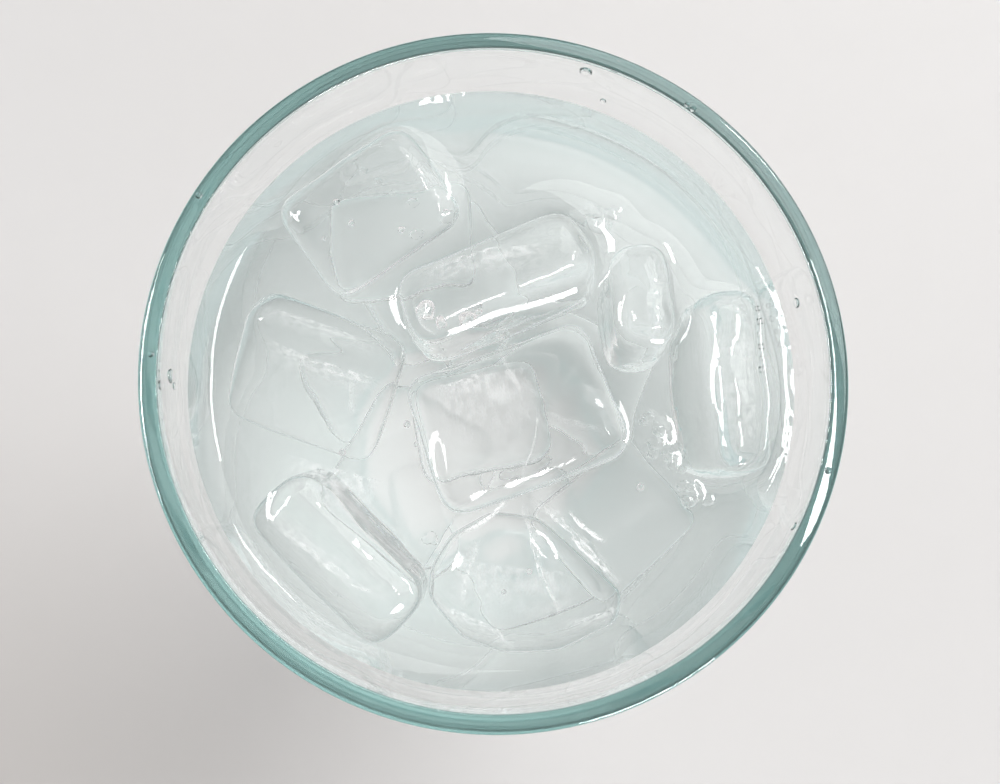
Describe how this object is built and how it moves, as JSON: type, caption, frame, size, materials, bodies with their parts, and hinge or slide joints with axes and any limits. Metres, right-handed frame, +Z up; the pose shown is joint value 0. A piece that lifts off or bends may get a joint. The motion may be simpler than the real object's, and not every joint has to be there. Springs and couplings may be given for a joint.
{
  "type": "glass of water",
  "caption": "Tapered clear tumbler filled with water and floating slabs of ice to a finger's width below its rounded lip.",
  "frame": {"origin": "middle of the ring that the tumbler stands on, at table height", "axes": "+Z up along the tumbler's axis; +X and +Y across the mouth, with the bar of ice that stands proudest towards +Y"},
  "size_m": [0.088, 0.088, 0.148],
  "materials": {
    "glass": "clear soda-lime glass, smooth, blue-green through its thickness",
    "water": "still clear water",
    "ice": "wet melting ice, mostly clear with white veils and small bubbles"
  },
  "bodies": {
    "root": {"tumbler": "glass", "water": "water", "ice_middle": "ice", "ice_back_bar": "ice", "ice_right_bar": "ice", "ice_right_chip": "ice", "ice_left": "ice", "ice_back_left": "ice", "ice_left_bar": "ice", "ice_front": "ice"}
  },
  "joints": []
}
